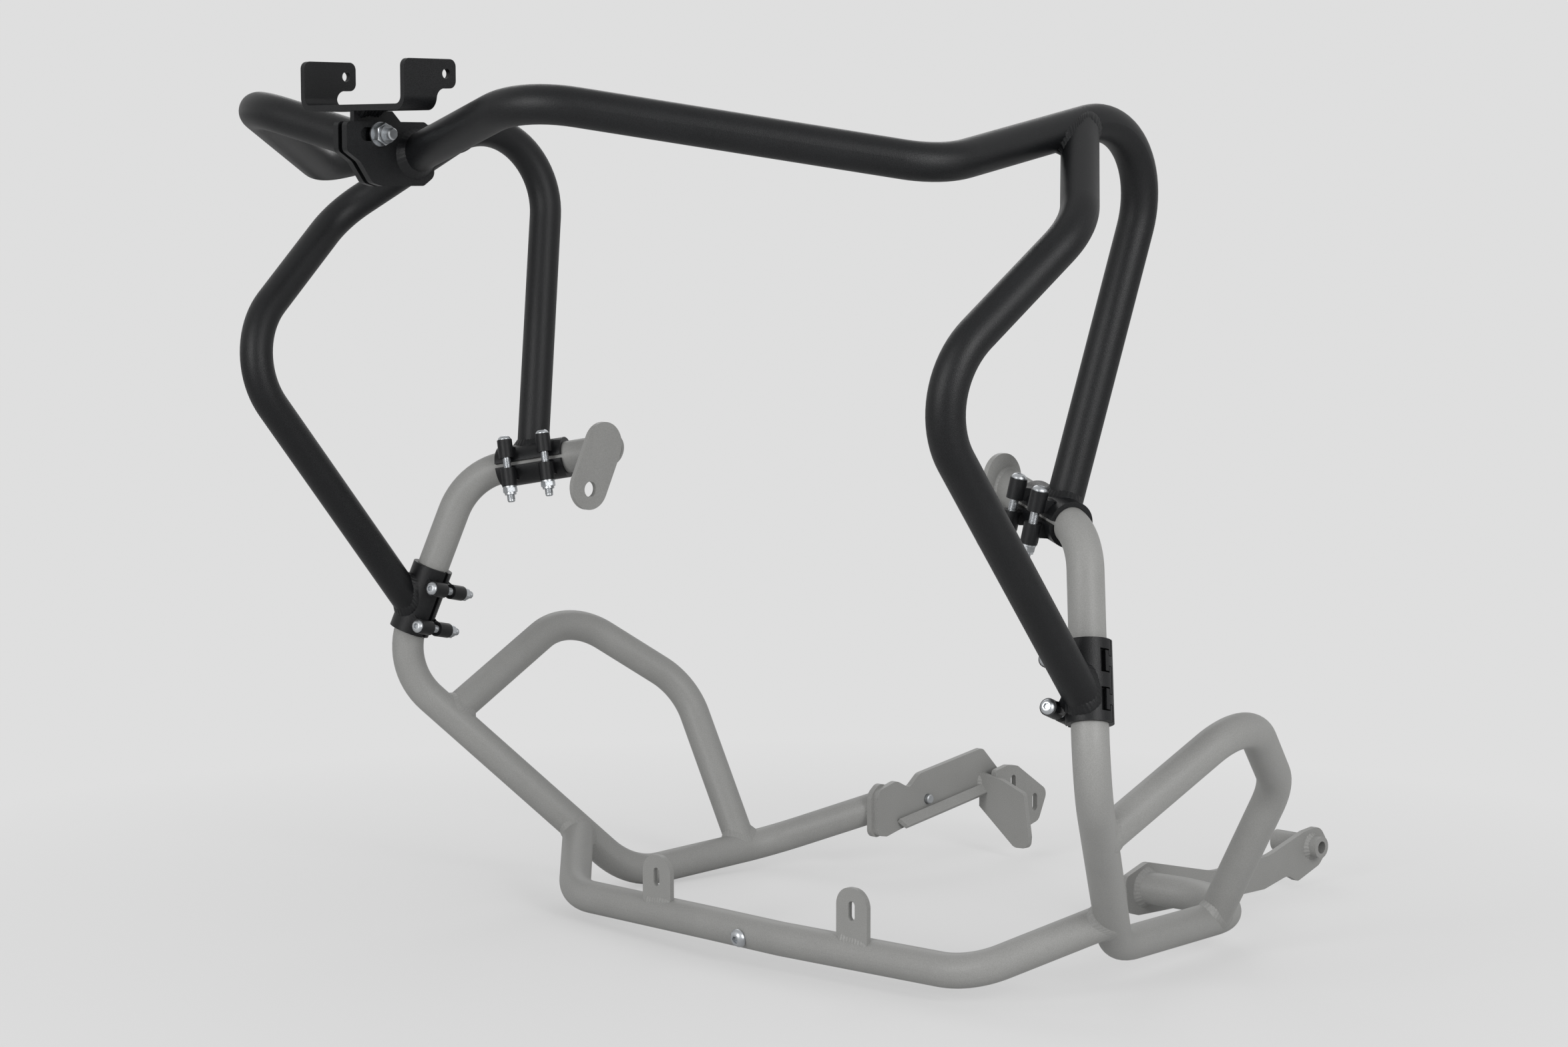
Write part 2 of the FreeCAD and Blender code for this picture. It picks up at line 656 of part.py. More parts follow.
def build_cross_joint():
    """The spigot inside the cross tube, the bolt that holds it and the nut in its bore."""
    spigot_r = TUBE_R - TUBE_WALL - SPIGOT_FIT
    bore_r = spigot_r - SPIGOT_WALL
    start = V(CROSS_SEAM_X - SPIGOT_FREE_L, CROSS_MIDDLE.y, CROSS_MIDDLE.z)
    length = SPIGOT_FREE_L + SPIGOT_HELD_L
    spigot = Part.makeCylinder(spigot_r, length, start, SIDEWAYS)
    spigot = spigot.cut(Part.makeCylinder(bore_r, length, start, SIDEWAYS))
    spigot = spigot.cut(cross_bolt_hole("left"))
    way = cross_bolt_way()
    centre = cross_bolt_at("left")
    nut_seat = math.sqrt(bore_r ** 2 - (M8_NUT_AF / 2) ** 2)
    nut = hexagon(M8_NUT_AF, CROSS_NUT_H, centre + way * (nut_seat - CROSS_NUT_H), way)
    nut = nut.cut(Part.makeCylinder(CENTRE_BOLT_D / 2, CROSS_NUT_H * 3, centre - way * CROSS_NUT_H, way))
    bolt = button_bolt(CENTRE_BOLT_D, M8_HEAD_D, M8_HEAD_H, M8_SOCKET, CROSS_BOLT_L,
                       centre + way * TUBE_R, way * -1)
    add("cross_tube_spigot", spigot, "left")
    add("cross_tube_nut", nut, "left")
    add("cross_tube_bolt", bolt, "left")


def build_lamp_bracket():
    """The folded lamp bracket, its tongue and the centre bolt."""
    depth = LAMP_EAR_DEPTH
    outer = [(-LAMP_HALF_W, LAMP_TOP_Z, 1), (-LAMP_HALF_W, LAMP_BASE_Z, LAMP_FOLD_R),
             (LAMP_HALF_W, LAMP_BASE_Z, LAMP_FOLD_R), (LAMP_HALF_W, LAMP_TOP_Z, 1)]
    inner_w = LAMP_HALF_W - LAMP_SHEET_T
    inner_z = LAMP_BASE_Z + LAMP_SHEET_T
    inner_r = LAMP_FOLD_R - LAMP_SHEET_T
    above = LAMP_TOP_Z + LAMP_SHEET_T
    inner = [(-inner_w, above, 1), (-inner_w, inner_z, inner_r), (inner_w, inner_z, inner_r),
             (inner_w, above, 1)]
    channel = plate_across_y(outer, LAMP_FRONT_Y, depth)
    channel = channel.cut(plate_across_y(inner, LAMP_FRONT_Y, depth))
    low = LAMP_BASE_Z - LAMP_SHEET_T
    base_back = LAMP_FRONT_Y + LAMP_BASE_DEPTH
    ear_back = LAMP_FRONT_Y + LAMP_EAR_DEPTH
    outline = [(LAMP_FRONT_Y, low, 0.5), (LAMP_FRONT_Y, LAMP_TOP_Z, LAMP_EAR_R),
               (ear_back, LAMP_TOP_Z, LAMP_EAR_R), (ear_back, LAMP_NOTCH_Z, LAMP_EAR_R),
               (base_back, LAMP_NOTCH_Z, LAMP_NOTCH_R), (base_back, low, 0.5)]
    stencil = plate_across_x(outline, -LAMP_HALF_W, 2 * LAMP_HALF_W)
    bracket = channel.common(stencil)
    hole_at = V(-LAMP_HALF_W, LAMP_HOLE_Y, LAMP_HOLE_Z)
    hole = Part.makeCylinder(LAMP_HOLE_D / 2, 2 * LAMP_HALF_W, hole_at, SIDEWAYS)
    add("lamp_bracket", bracket.cut(hole), "left")

    slope_y = TONGUE_BACK_Y + TONGUE_SLOPE
    tongue_outline = [(TONGUE_FRONT_Y, TONGUE_LOW_Z, TONGUE_FOOT_R), (slope_y, TONGUE_LOW_Z, TONGUE_FOOT_R),
                      (slope_y, LAMP_BASE_Z - TONGUE_SLOPE, 1), (TONGUE_BACK_Y, LAMP_BASE_Z, 1),
                      (TONGUE_FRONT_Y, LAMP_BASE_Z, 0.5)]
    tongue = plate_across_x(tongue_outline, -TONGUE_T / 2, TONGUE_T)
    bolt_line = V(-TONGUE_T, CENTRE_BOLT_Y, CENTRE_BOLT_Z)
    tongue = tongue.cut(Part.makeCylinder(CENTRE_HOLE_D / 2, 2 * TONGUE_T, bolt_line, SIDEWAYS))
    add("lamp_bracket_tongue", tongue, "left")

    head_at = V(-FLANGE_OUTER_X - WASHER_T, CENTRE_BOLT_Y, CENTRE_BOLT_Z)
    nut_at = V(FLANGE_OUTER_X + WASHER_T, CENTRE_BOLT_Y, CENTRE_BOLT_Z)
    under_nut = V(FLANGE_OUTER_X, CENTRE_BOLT_Y, CENTRE_BOLT_Z)
    add("centre_bolt", button_bolt(CENTRE_BOLT_D, M8_HEAD_D, M8_HEAD_H, M8_SOCKET, CENTRE_BOLT_L,
                                   head_at, SIDEWAYS), "left")
    add("centre_washers", [washer(M8_WASHER_D, CENTRE_HOLE_D, head_at, SIDEWAYS),
                           washer(M8_WASHER_D, CENTRE_HOLE_D, under_nut, SIDEWAYS)], "left")
    add("centre_nut", lock_nut(M8_NUT_AF, M8_NUT_H, CENTRE_BOLT_D, nut_at, SIDEWAYS), "left")


def build_left_rear_mount():
    """The arm plate and the boss tube that passes through it."""
    arm = plate_across_x(ARM_OUTLINE, ARM_OUTER_X - ARM_T, ARM_T)
    start = V(BOSS_INNER_X, BOSS_Y, BOSS_Z)
    length = BOSS_OUTER_X - BOSS_INNER_X
    arm = arm.cut(Part.makeCylinder(BOSS_OD / 2, length, start, SIDEWAYS))
    boss = Part.makeCylinder(BOSS_OD / 2, length, start, SIDEWAYS)
    boss = boss.cut(Part.makeCylinder(BOSS_BORE / 2, length, start, SIDEWAYS))
    add("rear_arm_plate_left", arm, "left")
    add("rear_boss_tube_left", boss, "left")


def build_right_rear_mount():
    """The right rear mount: tube plate, bracket, stiffener, gusset, slotted plate and a bolt."""
    plate_x = REAR_PLATE_OUTER_X - REAR_PLATE_T
    bracket_x = plate_x - REAR_SHEET_T
    bolt_hole = Part.makeCylinder(CENTRE_HOLE_D / 2, 4 * REAR_SHEET_T,
                                  V(bracket_x - REAR_SHEET_T, REAR_BOLT_Y, REAR_BOLT_Z), SIDEWAYS)
    add("rear_tube_plate_right", plate_across_x(REAR_PLATE_OUTLINE, plate_x, REAR_PLATE_T), "right")
    bracket = plate_across_x(REAR_BRACKET_OUTLINE, bracket_x, REAR_SHEET_T).cut(bolt_hole)
    add("rear_bracket_right", bracket, "right")

    front = V(bracket_x, STIFFENER_FRONT.y, STIFFENER_FRONT.z)
    rear = V(bracket_x, STIFFENER_REAR.y, STIFFENER_REAR.z)
    down = unit(V(-1, 0, -1)) * STIFFENER_W
    sheet_way = unit(rear - front).cross(unit(down)) * STIFFENER_T
    corners = [front, rear, rear + down, front + down + unit(rear - front) * STIFFENER_T, front]
    stiffener = Part.Face(Part.makePolygon(corners)).extrude(sheet_way)
    block = half_space(V(bracket_x, 0, 0), SIDEWAYS)
    gusset_y = GUSSET_BACK_Y - REAR_SHEET_T
    stiffener = stiffener.cut([block, half_space(V(0, gusset_y, 0), V(0, 1, 0))])
    add("rear_stiffener_right", largest(stiffener), "right")

    gusset = plate_across_y(GUSSET_OUTLINE, gusset_y, REAR_SHEET_T)
    gusset = gusset.cut(half_space(V(bracket_x, 0, 0), SIDEWAYS))
    add("rear_gusset_right", largest(gusset), "right")

    slotted_x = SLOTTED_OUTER_X - REAR_SHEET_T
    slotted = plate_across_x(SLOTTED_OUTLINE, slotted_x, REAR_SHEET_T)
    cutters = [slot_cutter(V(slotted_x + REAR_SHEET_T / 2, y, z), V(0, 0, 1), SIDEWAYS, length,
                           REAR_SLOT_W, 2 * REAR_SHEET_T) for y, z, length in REAR_SLOTS]
    add("rear_slotted_plate_right", slotted.cut(cutters), "right")

    head_at = V(plate_x, REAR_BOLT_Y, REAR_BOLT_Z)
    bolt = button_bolt(CENTRE_BOLT_D, M8_HEAD_D, M8_HEAD_H, M8_SOCKET, REAR_BOLT_L, head_at, V(-1, 0, 0))
    add("rear_bracket_bolt_right", bolt, "right")


def main():
    """Build every node and write one STEP file for each."""
    for side in SIDES:
        sleeves = build_clamps(side)
        build_upper(side, sleeves)
        build_lower(side)
        build_mount_plate(side)
        build_centre_flange(side)
    build_cross_joint()
    build_lamp_bracket()
    build_left_rear_mount()
    build_right_rear_mount()
    os.makedirs("parts", exist_ok=True)
    for name, solids in NODES.items():
        shape = solids[0] if len(solids) == 1 else Part.makeCompound(solids)
        shape.exportStep(f"parts/{name}.step")
        print(name, len(shape.Solids), "solids", round(shape.Volume / 1000, 2), "cm3", shape.isValid())


main()
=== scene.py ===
# %% [markdown]
# # Motorcycle crash bars
# The part is a black upper pair of bent tubes, clamped to a grey engine guard. The solids come from
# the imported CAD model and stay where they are. Blender adds what a solid leaves out: the coats and
# their texture, the zinc of the fasteners, every weld bead and the threads on the bolts.

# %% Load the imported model
import json
import math

import bmesh
import bpy
from mathutils import Matrix, Vector
from mathutils.bvhtree import BVHTree

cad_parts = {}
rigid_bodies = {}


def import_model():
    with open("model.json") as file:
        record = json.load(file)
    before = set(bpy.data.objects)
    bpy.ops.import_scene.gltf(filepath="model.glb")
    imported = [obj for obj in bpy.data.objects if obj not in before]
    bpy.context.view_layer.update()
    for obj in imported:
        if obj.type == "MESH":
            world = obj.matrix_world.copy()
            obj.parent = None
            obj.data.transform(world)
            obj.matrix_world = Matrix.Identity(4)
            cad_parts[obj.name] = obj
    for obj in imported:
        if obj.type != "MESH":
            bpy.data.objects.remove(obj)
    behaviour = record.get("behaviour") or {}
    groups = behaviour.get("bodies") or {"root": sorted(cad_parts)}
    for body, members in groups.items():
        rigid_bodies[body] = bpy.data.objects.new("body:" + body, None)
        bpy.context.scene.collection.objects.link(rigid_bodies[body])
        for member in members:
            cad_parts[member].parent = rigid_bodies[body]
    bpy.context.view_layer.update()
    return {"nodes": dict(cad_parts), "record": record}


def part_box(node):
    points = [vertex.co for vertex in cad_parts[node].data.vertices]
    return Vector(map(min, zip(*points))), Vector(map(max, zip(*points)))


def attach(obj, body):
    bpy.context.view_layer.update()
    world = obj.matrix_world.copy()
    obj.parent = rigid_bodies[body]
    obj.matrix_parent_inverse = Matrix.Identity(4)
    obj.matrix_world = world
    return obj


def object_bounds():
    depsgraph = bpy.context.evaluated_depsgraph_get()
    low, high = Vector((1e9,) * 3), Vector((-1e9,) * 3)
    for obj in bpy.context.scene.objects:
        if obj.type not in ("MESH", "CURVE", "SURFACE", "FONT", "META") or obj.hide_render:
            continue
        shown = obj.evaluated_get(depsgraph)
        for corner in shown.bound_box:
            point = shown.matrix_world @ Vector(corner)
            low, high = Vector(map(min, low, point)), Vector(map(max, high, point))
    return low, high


for leftover in list(bpy.data.objects):
    bpy.data.objects.remove(leftover)
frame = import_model()
nodes = frame["nodes"]
slot_of_node = {part["node"]: part["material_slot"] for part in frame["record"]["subparts"]}
MM = 0.001

# %% [markdown]
# ## Writing materials as sums
# A material is easier to read as arithmetic than as a web of nodes. One small class wraps a socket,
# so that adding or multiplying two of them places the Math node. Every other node comes from one
# method that takes the type, the settings and the sockets.


# %% A socket that can be added and multiplied
class Wire:
    """One output socket of a node tree, with the operators that the coats need."""

    def __init__(self, tree, socket):
        self.tree = tree
        self.socket = socket

    def node(self, kind, settings=None, output=0, **sockets):
        """Adds a node, makes its settings, fills its sockets and returns one output."""
        made = self.tree.nodes.new(kind)
        for name, value in (settings or {}).items():
            setattr(made, name, value)
        for name, value in sockets.items():
            key = int(name[1:]) if name[1:].isdigit() else name.replace("_", " ")
            if isinstance(value, Wire):
                self.tree.links.new(value.socket, made.inputs[key])
            else:
                made.inputs[key].default_value = value
        return Wire(self.tree, made.outputs[output])

    def math(self, operation, other):
        """A Math node on this socket and a number or another socket."""
        return self.node("ShaderNodeMath", {"operation": operation}, i0=self, i1=other)

    def __add__(self, other):
        return self.math("ADD", other)

    def __mul__(self, other):
        return self.math("MULTIPLY", other)

    def __sub__(self, other):
        return self.math("SUBTRACT", other)

    def __rsub__(self, other):
        return self.node("ShaderNodeMath", {"operation": "SUBTRACT"}, i0=other, i1=self)

    __radd__ = __add__
    __rmul__ = __mul__


def noise(place, scale, detail=2.0):
    """Soft random values about 0.5, with features of about 1 / scale metres."""
    return place.node("ShaderNodeTexNoise", {}, 0, Vector=place, Scale=scale, Detail=detail)


def clamp01(value):
    """The same value held between 0 and 1."""
    return value.node("ShaderNodeClamp", {}, 0, Value=value)


def blend_colour(factor, first, second):
    """A colour between two, by a factor."""
    return factor.node("ShaderNodeMix", {"data_type": "RGBA"}, 2, i0=factor, i6=first, i7=second)


def bumps(place, height, strength):
    """A surface tilted by a height in metres."""
    return place.node("ShaderNodeBump", {}, 0, Height=height, Strength=strength, Distance=1.0)


def start_material(name):
    """A new material: its shader, and a wire with the object's own coordinates."""
    material = bpy.data.materials.new(name)
    material.use_nodes = True
    tree = material.node_tree
    place = Wire(tree, None).node("ShaderNodeTexCoord", {}, 3)
    return material, tree, tree.nodes["Principled BSDF"], place


def plug(tree, wire, shader, name):
    """Leads a wire into one socket of the shader."""
    tree.links.new(wire.socket, shader.inputs[name])


print("material maker ready")

# %% [markdown]
# ## The two coats
# Both coats are powder, sprayed dry and baked. The black one is textured: tiny bumps about half a
# millimetre across break up each highlight. The grey one is satin and smoother, with a slow orange
# peel. A painted image would show its seams on bent tube, so noise in the object's own coordinates
# makes both, and one recipe serves them, with the size and depth of the bumps as its values.


# %% Powder coat
DRIFT_SCALE = 38.0
DRIFT_DETAIL = 3.0
PEEL_SCALE = 420.0
DRIFT_CONTRAST = 0.5
SPECK_CONTRAST = 2.2
TONE_LIFT = 0.2
SPECK_ROUGHNESS = 0.16
DRIFT_ROUGHNESS = 0.06
COAT_BUMP = 0.8


def powder_coat(name, dark, pale, roughness, grain, grain_depth, peel_depth, specular):
    """A baked powder coat: a little colour drift, fine grain and slow orange peel."""
    material, tree, shader, place = start_material(name)
    drift = noise(place, DRIFT_SCALE, DRIFT_DETAIL)
    speck = noise(place, grain)
    peel = noise(place, PEEL_SCALE)
    tone = clamp01(drift * DRIFT_CONTRAST + (speck - 0.5) * SPECK_CONTRAST + TONE_LIFT)
    plug(tree, blend_colour(tone, dark, pale), shader, "Base Color")
    smoothest = roughness - (SPECK_ROUGHNESS + DRIFT_ROUGHNESS) / 2
    plug(tree, clamp01(speck * SPECK_ROUGHNESS + drift * DRIFT_ROUGHNESS + smoothest), shader, "Roughness")
    plug(tree, bumps(place, speck * grain_depth + peel * peel_depth, COAT_BUMP), shader, "Normal")
    shader.inputs["Specular IOR Level"].default_value = specular
    return material


BLACK_DARK = (0.0008, 0.0010, 0.0014, 1)
BLACK_PALE = (0.0085, 0.0091, 0.0102, 1)
GREY_DARK = (0.228, 0.228, 0.221, 1)
GREY_PALE = (0.288, 0.288, 0.280, 1)
black_coat = powder_coat("black_powder_coat", BLACK_DARK, BLACK_PALE, roughness=0.43, grain=1900.0,
                         grain_depth=0.00018, peel_depth=0.00004, specular=0.28)
grey_coat = powder_coat("grey_powder_coat", GREY_DARK, GREY_PALE, roughness=0.46, grain=1500.0,
                        grain_depth=0.00005, peel_depth=0.00008, specular=0.26)
print("coats", black_coat.name, grey_coat.name)

# %% [markdown]
# ## Zinc plate
# Bolts, washers and nuts are bright zinc over steel. Fasteners this small show no brushing, but the
# plating clouds a little and the faces carry fine marks from tools and handling. Two noises of
# different size give both, because a smooth mirror would look like chrome.


# %% Zinc plate
ZINC_DARK = (0.36, 0.375, 0.39, 1)
ZINC_PALE = (0.56, 0.58, 0.60, 1)
CLOUD_SCALE = 260.0
CLOUD_DETAIL = 3.0
MARK_SCALE = 1900.0
MARK_DETAIL = 4.0
MARK_ROUGHNESS = 0.22
CLOUD_ROUGHNESS = 0.12
ZINC_SMOOTHEST = 0.20
MARK_DEPTH = 0.00003
ZINC_BUMP = 0.6


def zinc_plate(name):
    """Bright plated steel with faint clouds and fine marks."""
    material, tree, shader, place = start_material(name)
    cloud = noise(place, CLOUD_SCALE, CLOUD_DETAIL)
    marks = noise(place, MARK_SCALE, MARK_DETAIL)
    plug(tree, blend_colour(clamp01(cloud), ZINC_DARK, ZINC_PALE), shader, "Base Color")
    roughness = clamp01(marks * MARK_ROUGHNESS + cloud * CLOUD_ROUGHNESS + ZINC_SMOOTHEST)
    plug(tree, roughness, shader, "Roughness")
    plug(tree, bumps(place, marks * MARK_DEPTH, ZINC_BUMP), shader, "Normal")
    shader.inputs["Metallic"].default_value = 1.0
    return material


zinc = zinc_plate("bright_zinc")
finish_of_slot = {"black_coat": black_coat, "grey_coat": grey_coat, "zinc": zinc}
for name, piece in nodes.items():
    piece.data.materials.clear()
    piece.data.materials.append(finish_of_slot[slot_of_node[name]])
print("finishes", {slot: sum(s == slot for s in slot_of_node.values()) for slot in finish_of_slot})

# %% [markdown]
# ## Finding the seams
# A weld runs where one tube ends on another. That line is an odd closed curve, and working it out by
# hand would repeat the CAD. Instead, rays start in the wall of the tube that ends, and run along it
# until they touch the piece that carries it. Where they land is the seam.


# %% Rays that find a seam
RING_POINTS = 96
FEWEST_LANDINGS = 7


def surfaces(names):
    """One search tree over the meshes of several nodes."""
    corners = []
    faces = []
    for name in names:
        offset = len(corners)
        mesh = nodes[name].data
        corners.extend(vertex.co.copy() for vertex in mesh.vertices)
        faces.extend([index + offset for index in face.vertices] for face in mesh.polygons)
    return BVHTree.FromPolygons(corners, faces)


def landings(host, starts, way, reach):
    """Where rays from (point, direction) pairs land on the host, or None where a ray misses."""
    found = []
    for start, out in starts:
        spot = host.ray_cast(start, way, reach)[0]
        found.append(None if spot is None else (spot, out))
    return found


def ring_of_starts(centre, way, radius):
    """Points on a circle about a tube's line, each with its direction away from the line."""
    side = way.orthogonal().normalized()
    outs = [Matrix.Rotation(math.tau * k / RING_POINTS, 3, way) @ side for k in range(RING_POINTS)]
    return [(centre + out * radius, out) for out in outs]


def unbroken_runs(points, longest_step):
    """Splits a ring of landings where rays missed or jumped. Returns (points, closed) pairs."""
    count = len(points)

    def joined(k):
        here = points[k]
        after = points[(k + 1) % count]
        return here is not None and after is not None and (after[0] - here[0]).length < longest_step

    if all(joined(k) for k in range(count)):
        return [(points, True)]
    runs = []
    current = []
    first = next(k for k in range(count) if not joined(k)) + 1
    for k in range(first, first + count):
        if points[k % count] is not None:
            current.append(points[k % count])
        if not joined(k % count):
            if len(current) >= FEWEST_LANDINGS:
                runs.append((current, False))
            current = []
    return runs


print("seam finder ready")

# %% [markdown]
# ## Filling a corner with weld
# A weld fills the corner between a piece that ends and the piece that carries it: it climbs a little
# way up one and runs a little way out on the other. It is laid in small puddles, so its face ripples,
# and its width wanders with the welder's hand. A pipe along the seam would be round and even, so the
# bead has a profile of its own: a ring of edges starts on the first piece, and is extruded ring by
# ring across the weld to the second one, then under the weld and back to the start.

# %% Points along a seam
FEWEST_STEPS = 8
NO_LENGTH = 1e-9


def resample(path, closed, step):
    """Evenly spaced points along a path, each with its own direction away from the corner."""
    spots = path + path[:1] if closed else path
    lengths = [0.0]
    for before, after in zip(spots, spots[1:]):
        lengths.append(lengths[-1] + (after[0] - before[0]).length)
    count = max(FEWEST_STEPS, round(lengths[-1] / step))
    even = []
    k = 0
    for index in range(count if closed else count + 1):
        wanted = lengths[-1] * index / count
        while k < len(lengths) - 2 and lengths[k + 1] < wanted:
            k += 1
        share = (wanted - lengths[k]) / max(lengths[k + 1] - lengths[k], NO_LENGTH)
        even.append((spots[k][0].lerp(spots[k + 1][0], share), spots[k][1].lerp(spots[k + 1][1], share)))
    return even


print("seam walker ready")

# %% [markdown]
# The far toe of a weld has to lie on the host, wherever its surface goes. On a flat plate the toe is
# straight out from the corner. On a round tube the surface falls away, so the toe comes back in and
# drops round the side. One ray measures how far the surface has fallen halfway out.

# %% The toe on the host
SINK = 0.3 * MM
PROBE_OUT = 0.5
PROBE_REACH = 2.4
STEEPEST = 1.4
TOE_OUT = 0.8
TOE_BACK = 0.3
TOE_DROP = 0.4


def toe_on(host, corner, out, way, leg):
    """Where the weld ends on the host: out from the corner, and round its side where it falls away."""
    probe = corner + out * (leg * PROBE_OUT)
    hit = host.ray_cast(probe - way * leg, way, leg * PROBE_REACH)[3]
    fall = STEEPEST if hit is None else min(STEEPEST, max(0.0, hit / leg - 1.0) / PROBE_OUT)
    aim = corner + out * (leg * (TOE_OUT - TOE_BACK * fall)) + way * (leg * TOE_DROP * fall)
    spot, normal, _, _ = host.find_nearest(aim)
    return spot - normal * SINK


def keep(name, shape, slot):
    """Turns a bmesh into a piece that rides with the bars."""
    bmesh.ops.recalc_face_normals(shape, faces=shape.faces)
    mesh = bpy.data.meshes.new(name)
    shape.to_mesh(mesh)
    shape.free()
    for face in mesh.polygons:
        face.use_smooth = True
    piece = bpy.data.objects.new(name, mesh)
    bpy.context.scene.collection.objects.link(piece)
    mesh.materials.append(finish_of_slot[slot])
    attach(piece, "root")
    return piece


print("toe finder ready")

# %% [markdown]
# Across the bead the profile sags between its two toes and swells in the middle. Along it, each puddle
# ends in a narrow dip, two slow waves stand for the welder's hand, and an open bead thins at its ends.

# %% The weld itself
ROOT = 1.0 * MM
RIPPLE = 2.8 * MM
STEPS_PER_RIPPLE = 4
ACROSS = (0.0, 0.07, 0.26, 0.5, 0.74, 0.93, 1.0)
END_SIZE = 0.35
END_GROWTH = 0.12
HAND_WAVES = ((0.12, 0.31, 0.0), (0.09, 0.117, 1.0))
WIDTH_DIP = 0.10
CROWN = 0.16
CROWN_DIP = 0.14
SAG_POWER = 1.6
SHOULDER_POWER = 0.6


def weld(name, path, closed, way, host, leg, slot, relief):
    """A rippled weld along a seam. path holds (point, direction away from the corner) pairs."""
    seam = resample(path, closed, RIPPLE / STEPS_PER_RIPPLE)
    count = len(seam)
    rings = [[] for step in range(len(ACROSS) + 1)]
    for k, (corner, out) in enumerate(seam):
        dip = 1.0 - abs(math.sin(math.pi * k / STEPS_PER_RIPPLE))
        taper = 1.0 if closed else min(1.0, END_SIZE + END_GROWTH * min(k, count - 1 - k))
        wander = sum(height * math.sin(k * rate + start) for height, rate, start in HAND_WAVES)
        size = leg * taper * (1.0 + relief * (wander - WIDTH_DIP * dip))
        climb = way * -size - out * SINK
        run = toe_on(host, corner, out, way, size) - corner
        bulge = (out - way).normalized() * size * (CROWN + relief * CROWN_DIP * (0.5 - dip))
        for ring, share in zip(rings, ACROSS):
            sag = climb * (1 - share) ** SAG_POWER + run * share ** SAG_POWER
            ring.append(corner + sag + bulge * math.sin(math.pi * share) ** SHOULDER_POWER)
        rings[-1].append(corner - out * ROOT + way * ROOT)
    shape = bmesh.new()
    ordered = list(bmesh.ops.create_circle(shape, segments=count, radius=1.0)["verts"])
    for vertex, spot in zip(ordered, rings[0]):
        vertex.co = spot
    if not closed:
        shape.edges.remove(shape.edges.get((ordered[0], ordered[-1])))
    first_edges = list(shape.edges)
    edges = first_edges
    for ring in rings[1:]:
        grown = bmesh.ops.extrude_edge_only(shape, edges=edges)["geom"]
        fresh = {part for part in grown if isinstance(part, bmesh.types.BMVert)}
        edges = [part for part in grown if isinstance(part, bmesh.types.BMEdge)]
        ordered = [next(edge.other_vert(old) for edge in old.link_edges if edge.other_vert(old) in fresh)
                   for old in ordered]
        for vertex, spot in zip(ordered, ring):
            vertex.co = spot
    bmesh.ops.bridge_loops(shape, edges=first_edges + edges)
    if not closed:
        bmesh.ops.holes_fill(shape, edges=[edge for edge in shape.edges if edge.is_boundary], sides=0)
    return keep(name, shape, slot)


print("weld maker ready")

# %% [markdown]
# ## Where the tubes end
# Each line below is one tube end: two points on its last straight run, in millimetres with x
# outward, and the pieces that the run lands on. Two joints of the upper pair are the same on both
# sides, mirrored. The guard's corners and the clamps' places on it differ from side to side, so every
# other end has a line for each side.

# %% The tube ends
TUBE_R = 12.7 * MM
SHARED_ENDS = [
    ("branch_root", (379.7, -113.5, 215.4), (317.4, -38.2, 279.6), ["upper_main_tube"]),
    ("flange_ring", (141.5, -375.3, 295.2), (6.7, -348.9, 261.0), ["centre_flange"]),
]
OWN_ENDS = {
    "left": [
        ("upper_foot", (316.6, 56.7, 297.6), (283.0, -12.5, 17.5), ["rear_clamp_fixed_half"]),
        ("branch_foot", (353.9, -235.7, 112.6), (350.0, -62.5, -104.6), ["front_clamp_fixed_half"]),
        ("plate_ring", (319.7, -32.4, 8.0), (213.0, 13.7, 28.8), ["upper_mount_plate"]),
        ("loop_root", (356.7, 104.8, -127.2), (327.3, -22.0, -202.6), ["lower_main_tube"]),
        ("loop_foot", (313.2, 199.7, -194.1), (239.2, 222.7, -310.0), ["lower_main_tube"]),
        ("cross_root", (208.4, -19.3, -316.0), (273.6, 58.3, -277.6), ["lower_main_tube"]),
        ("rear_end", (232.5, 289.1, -311.6), (140.0, 267.9, -308.1), ["rear_arm_plate"]),
    ],
    "right": [
        ("upper_foot", (316.6, 56.7, 297.6), (274.5, -3.5, 17.0), ["rear_clamp_fixed_half"]),
        ("branch_foot", (353.9, -235.7, 112.6), (350.7, -62.4, -104.4), ["front_clamp_fixed_half"]),
        ("plate_ring", (319.7, -32.4, 8.0), (213.0, 25.6, 29.6), ["upper_mount_plate"]),
        ("loop_root", (360.2, 109.7, -122.6), (338.0, -38.4, -190.5), ["lower_main_tube"]),
        ("loop_foot", (312.9, 202.0, -190.5), (238.7, 198.5, -320.7), ["lower_main_tube"]),
        ("cross_root", (208.3, -20.6, -321.1), (278.3, 47.2, -288.2), ["lower_main_tube"]),
        ("rear_end", (235.0, 226.9, -318.9), (150.0, 276.0, -282.7), ["rear_tube_plate"]),
    ],
}
print("tube ends", {side: len(SHARED_ENDS + ends) for side, ends in OWN_ENDS.items()})

# %% [markdown]
# A joint that carries much gets a big weld, and one on thin plate a small one. The photograph shows
# the most uneven bead at the root of the branch tube and the smoothest one at the centre flange, so
# each seam has its own leg and its own relief.

